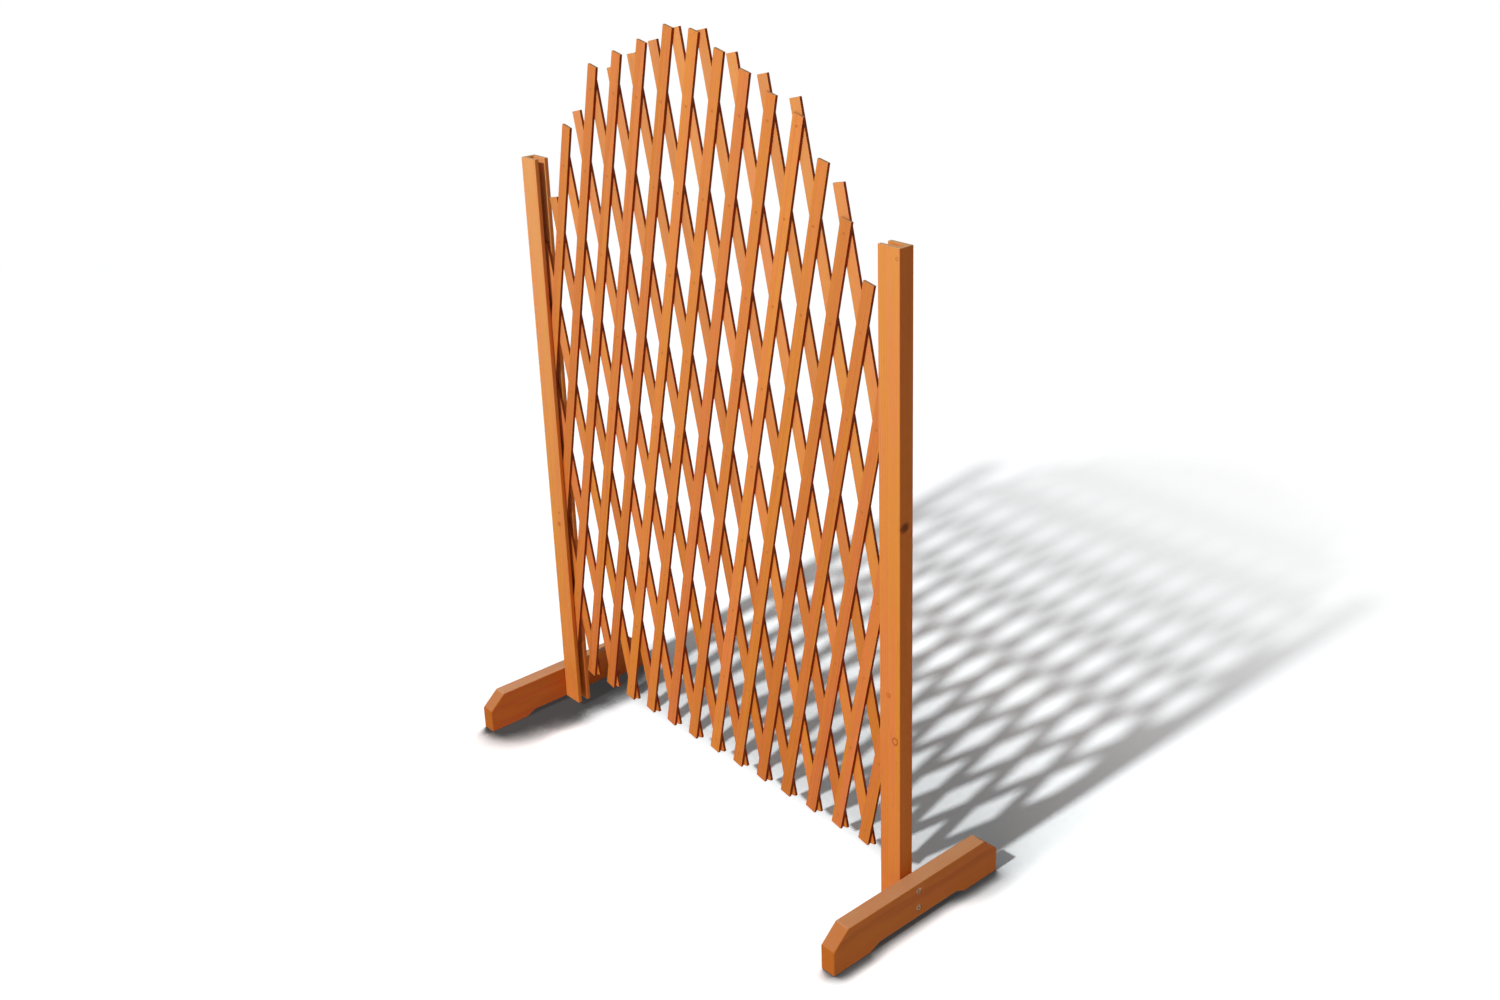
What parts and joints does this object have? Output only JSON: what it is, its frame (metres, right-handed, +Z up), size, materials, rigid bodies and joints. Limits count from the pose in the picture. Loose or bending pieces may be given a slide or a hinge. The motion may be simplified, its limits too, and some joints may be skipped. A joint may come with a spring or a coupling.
{
  "type": "trellis fence panel",
  "caption": "Free-standing expanding wooden trellis panel: pivoted slats in a lattice with an arched top, held in grooved posts on chamfered foot boards.",
  "frame": {"origin": "on the ground, under the middle of the panel, midway between the posts and between front and back", "axes": "+X across the panel from the left post to the right post, -Y towards the viewer of the front slats, +Z up"},
  "size_m": [0.8152, 0.31, 1.1271],
  "materials": {
    "front_slat_wood": "satin stain",
    "back_slat_wood": "satin stain",
    "post_wood": "satin stain",
    "foot_wood": "satin stain",
    "steel": "zinc plated, dulled"
  },
  "bodies": {
    "left_stand": {"left_post": "post_wood", "left_foot": "foot_wood", "left_lower_foot_screw": "steel", "left_upper_foot_screw": "steel", "left_post_pin": "steel"},
    "front_slat_01": {"front_slat_01": "front_slat_wood"},
    "front_slat_02": {"front_slat_02": "front_slat_wood"},
    "front_slat_03": {"front_slat_03": "front_slat_wood"},
    "front_slat_04": {"front_slat_04": "front_slat_wood"},
    "front_slat_05": {"front_slat_05": "front_slat_wood"},
    "front_slat_06": {"front_slat_06": "front_slat_wood"},
    "front_slat_07": {"front_slat_07": "front_slat_wood"},
    "front_slat_08": {"front_slat_08": "front_slat_wood"},
    "front_slat_09": {"front_slat_09": "front_slat_wood"},
    "front_slat_10": {"front_slat_10": "front_slat_wood"},
    "front_slat_11": {"front_slat_11": "front_slat_wood"},
    "front_slat_12": {"front_slat_12": "front_slat_wood"},
    "front_slat_13": {"front_slat_13": "front_slat_wood"},
    "front_slat_14": {"front_slat_14": "front_slat_wood"},
    "front_slat_15": {"front_slat_15": "front_slat_wood"},
    "front_slat_16": {"front_slat_16": "front_slat_wood"},
    "back_slat_01": {"back_slat_01": "back_slat_wood"},
    "back_slat_02": {"back_slat_02": "back_slat_wood"},
    "back_slat_03": {"back_slat_03": "back_slat_wood"},
    "back_slat_04": {"back_slat_04": "back_slat_wood"},
    "back_slat_05": {"back_slat_05": "back_slat_wood"},
    "back_slat_06": {"back_slat_06": "back_slat_wood"},
    "back_slat_07": {"back_slat_07": "back_slat_wood"},
    "back_slat_08": {"back_slat_08": "back_slat_wood"},
    "back_slat_09": {"back_slat_09": "back_slat_wood"},
    "back_slat_10": {"back_slat_10": "back_slat_wood"},
    "back_slat_11": {"back_slat_11": "back_slat_wood"},
    "back_slat_12": {"back_slat_12": "back_slat_wood"},
    "back_slat_13": {"back_slat_13": "back_slat_wood"},
    "back_slat_14": {"back_slat_14": "back_slat_wood"},
    "back_slat_15": {"back_slat_15": "back_slat_wood"},
    "back_slat_16": {"back_slat_16": "back_slat_wood"},
    "right_stand": {"right_post": "post_wood", "right_foot": "foot_wood", "right_lower_foot_screw": "steel", "right_upper_foot_screw": "steel", "right_post_pin": "steel"}
  },
  "joints": [
    {"name": "panel_spread", "type": "hinge", "parent": "left_stand", "child": "front_slat_02", "pos_m": [-0.364, 0, 0.32727], "axis": [0, 1, 0], "range_deg": [-7.5, 18.4]},
    {"name": "pivot_back_slat_01", "type": "hinge", "parent": "front_slat_02", "child": "back_slat_01", "pos_m": [-0.364, 0, 0.32727], "axis": [0, 1, 0], "range_deg": [-37, 15.2]},
    {"name": "pivot_back_slat_02", "type": "hinge", "parent": "front_slat_02", "child": "back_slat_02", "pos_m": [-0.338, 0, 0.44391], "axis": [0, 1, 0], "range_deg": [-37, 15.2]},
    {"name": "pivot_back_slat_03", "type": "hinge", "parent": "front_slat_02", "child": "back_slat_03", "pos_m": [-0.312, 0, 0.56055], "axis": [0, 1, 0], "range_deg": [-37, 15.2]},
    {"name": "pivot_back_slat_04", "type": "hinge", "parent": "front_slat_02", "child": "back_slat_04", "pos_m": [-0.286, 0, 0.67719], "axis": [0, 1, 0], "range_deg": [-37, 15.2]},
    {"name": "pivot_back_slat_05", "type": "hinge", "parent": "front_slat_02", "child": "back_slat_05", "pos_m": [-0.26, 0, 0.79382], "axis": [0, 1, 0], "range_deg": [-37, 15.2]},
    {"name": "pivot_back_slat_06", "type": "hinge", "parent": "front_slat_02", "child": "back_slat_06", "pos_m": [-0.234, 0, 0.91046], "axis": [0, 1, 0], "range_deg": [-37, 15.2]},
    {"name": "pivot_back_slat_07", "type": "hinge", "parent": "front_slat_02", "child": "back_slat_07", "pos_m": [-0.208, 0, 1.0271], "axis": [0, 1, 0], "range_deg": [-37, 15.2]},
    {"name": "pivot_front_slat_03", "type": "hinge", "parent": "back_slat_07", "child": "front_slat_03", "pos_m": [-0.182, 0, 0.91046], "axis": [0, 1, 0], "range_deg": [-15.2, 37]},
    {"name": "pivot_front_slat_04", "type": "hinge", "parent": "back_slat_07", "child": "front_slat_04", "pos_m": [-0.156, 0, 0.79382], "axis": [0, 1, 0], "range_deg": [-15.2, 37]},
    {"name": "pivot_front_slat_05", "type": "hinge", "parent": "back_slat_07", "child": "front_slat_05", "pos_m": [-0.13, 0, 0.67719], "axis": [0, 1, 0], "range_deg": [-15.2, 37]},
    {"name": "pivot_front_slat_06", "type": "hinge", "parent": "back_slat_07", "child": "front_slat_06", "pos_m": [-0.104, 0, 0.56055], "axis": [0, 1, 0], "range_deg": [-15.2, 37]},
    {"name": "pivot_front_slat_07", "type": "hinge", "parent": "back_slat_07", "child": "front_slat_07", "pos_m": [-0.078, 0, 0.44391], "axis": [0, 1, 0], "range_deg": [-15.2, 37]},
    {"name": "pivot_front_slat_08", "type": "hinge", "parent": "back_slat_07", "child": "front_slat_08", "pos_m": [-0.052, 0, 0.32727], "axis": [0, 1, 0], "range_deg": [-15.2, 37]},
    {"name": "pivot_front_slat_09", "type": "hinge", "parent": "back_slat_07", "child": "front_slat_09", "pos_m": [-0.026, 0, 0.21064], "axis": [0, 1, 0], "range_deg": [-15.2, 37]},
    {"name": "pivot_front_slat_10", "type": "hinge", "parent": "back_slat_07", "child": "front_slat_10", "pos_m": [0, 0, 0.094], "axis": [0, 1, 0], "range_deg": [-15.2, 37]},
    {"name": "pivot_front_slat_01", "type": "hinge", "parent": "back_slat_02", "child": "front_slat_01", "pos_m": [-0.364, 0, 0.56055], "axis": [0, 1, 0], "range_deg": [-15.2, 37]},
    {"name": "pivot_back_slat_08", "type": "hinge", "parent": "front_slat_10", "child": "back_slat_08", "pos_m": [0.026, 0, 0.21064], "axis": [0, 1, 0], "range_deg": [-37, 15.2]},
    {"name": "pivot_back_slat_09", "type": "hinge", "parent": "front_slat_10", "child": "back_slat_09", "pos_m": [0.052, 0, 0.32727], "axis": [0, 1, 0], "range_deg": [-37, 15.2]},
    {"name": "pivot_back_slat_10", "type": "hinge", "parent": "front_slat_10", "child": "back_slat_10", "pos_m": [0.078, 0, 0.44391], "axis": [0, 1, 0], "range_deg": [-37, 15.2]},
    {"name": "pivot_back_slat_11", "type": "hinge", "parent": "front_slat_10", "child": "back_slat_11", "pos_m": [0.104, 0, 0.56055], "axis": [0, 1, 0], "range_deg": [-37, 15.2]},
    {"name": "pivot_back_slat_12", "type": "hinge", "parent": "front_slat_10", "child": "back_slat_12", "pos_m": [0.13, 0, 0.67719], "axis": [0, 1, 0], "range_deg": [-37, 15.2]},
    {"name": "pivot_back_slat_13", "type": "hinge", "parent": "front_slat_10", "child": "back_slat_13", "pos_m": [0.156, 0, 0.79382], "axis": [0, 1, 0], "range_deg": [-37, 15.2]},
    {"name": "pivot_back_slat_14", "type": "hinge", "parent": "front_slat_10", "child": "back_slat_14", "pos_m": [0.182, 0, 0.91046], "axis": [0, 1, 0], "range_deg": [-37, 15.2]},
    {"name": "pivot_back_slat_15", "type": "hinge", "parent": "front_slat_10", "child": "back_slat_15", "pos_m": [0.208, 0, 1.0271], "axis": [0, 1, 0], "range_deg": [-37, 15.2]},
    {"name": "pivot_front_slat_11", "type": "hinge", "parent": "back_slat_15", "child": "front_slat_11", "pos_m": [0.234, 0, 0.91046], "axis": [0, 1, 0], "range_deg": [-15.2, 37]},
    {"name": "pivot_front_slat_12", "type": "hinge", "parent": "back_slat_15", "child": "front_slat_12", "pos_m": [0.26, 0, 0.79382], "axis": [0, 1, 0], "range_deg": [-15.2, 37]},
    {"name": "pivot_front_slat_13", "type": "hinge", "parent": "back_slat_15", "child": "front_slat_13", "pos_m": [0.286, 0, 0.67719], "axis": [0, 1, 0], "range_deg": [-15.2, 37]},
    {"name": "pivot_front_slat_14", "type": "hinge", "parent": "back_slat_15", "child": "front_slat_14", "pos_m": [0.312, 0, 0.56055], "axis": [0, 1, 0], "range_deg": [-15.2, 37]},
    {"name": "pivot_front_slat_15", "type": "hinge", "parent": "back_slat_15", "child": "front_slat_15", "pos_m": [0.338, 0, 0.44391], "axis": [0, 1, 0], "range_deg": [-15.2, 37]},
    {"name": "pivot_front_slat_16", "type": "hinge", "parent": "back_slat_15", "child": "front_slat_16", "pos_m": [0.364, 0, 0.32727], "axis": [0, 1, 0], "range_deg": [-15.2, 37]},
    {"name": "pivot_back_slat_16", "type": "hinge", "parent": "front_slat_15", "child": "back_slat_16", "pos_m": [0.364, 0, 0.56055], "axis": [0, 1, 0], "range_deg": [-37, 15.2]},
    {"name": "right_stand_pivot", "type": "hinge", "parent": "front_slat_16", "child": "right_stand", "pos_m": [0.364, 0, 0.32727], "axis": [0, 1, 0], "range_deg": [-18.6, 7.7]}
  ],
  "couplings": [
    {"joint": "pivot_back_slat_01", "follows": "panel_spread", "ratio": -2},
    {"joint": "pivot_back_slat_02", "follows": "panel_spread", "ratio": -2},
    {"joint": "pivot_back_slat_03", "follows": "panel_spread", "ratio": -2},
    {"joint": "pivot_back_slat_04", "follows": "panel_spread", "ratio": -2},
    {"joint": "pivot_back_slat_05", "follows": "panel_spread", "ratio": -2},
    {"joint": "pivot_back_slat_06", "follows": "panel_spread", "ratio": -2},
    {"joint": "pivot_back_slat_07", "follows": "panel_spread", "ratio": -2},
    {"joint": "pivot_front_slat_03", "follows": "panel_spread", "ratio": 2},
    {"joint": "pivot_front_slat_04", "follows": "panel_spread", "ratio": 2},
    {"joint": "pivot_front_slat_05", "follows": "panel_spread", "ratio": 2},
    {"joint": "pivot_front_slat_06", "follows": "panel_spread", "ratio": 2},
    {"joint": "pivot_front_slat_07", "follows": "panel_spread", "ratio": 2},
    {"joint": "pivot_front_slat_08", "follows": "panel_spread", "ratio": 2},
    {"joint": "pivot_front_slat_09", "follows": "panel_spread", "ratio": 2},
    {"joint": "pivot_front_slat_10", "follows": "panel_spread", "ratio": 2},
    {"joint": "pivot_front_slat_01", "follows": "panel_spread", "ratio": 2},
    {"joint": "pivot_back_slat_08", "follows": "panel_spread", "ratio": -2},
    {"joint": "pivot_back_slat_09", "follows": "panel_spread", "ratio": -2},
    {"joint": "pivot_back_slat_10", "follows": "panel_spread", "ratio": -2},
    {"joint": "pivot_back_slat_11", "follows": "panel_spread", "ratio": -2},
    {"joint": "pivot_back_slat_12", "follows": "panel_spread", "ratio": -2},
    {"joint": "pivot_back_slat_13", "follows": "panel_spread", "ratio": -2},
    {"joint": "pivot_back_slat_14", "follows": "panel_spread", "ratio": -2},
    {"joint": "pivot_back_slat_15", "follows": "panel_spread", "ratio": -2},
    {"joint": "pivot_front_slat_11", "follows": "panel_spread", "ratio": 2},
    {"joint": "pivot_front_slat_12", "follows": "panel_spread", "ratio": 2},
    {"joint": "pivot_front_slat_13", "follows": "panel_spread", "ratio": 2},
    {"joint": "pivot_front_slat_14", "follows": "panel_spread", "ratio": 2},
    {"joint": "pivot_front_slat_15", "follows": "panel_spread", "ratio": 2},
    {"joint": "pivot_front_slat_16", "follows": "panel_spread", "ratio": 2},
    {"joint": "pivot_back_slat_16", "follows": "panel_spread", "ratio": -2},
    {"joint": "right_stand_pivot", "follows": "panel_spread", "ratio": -1}
  ]
}
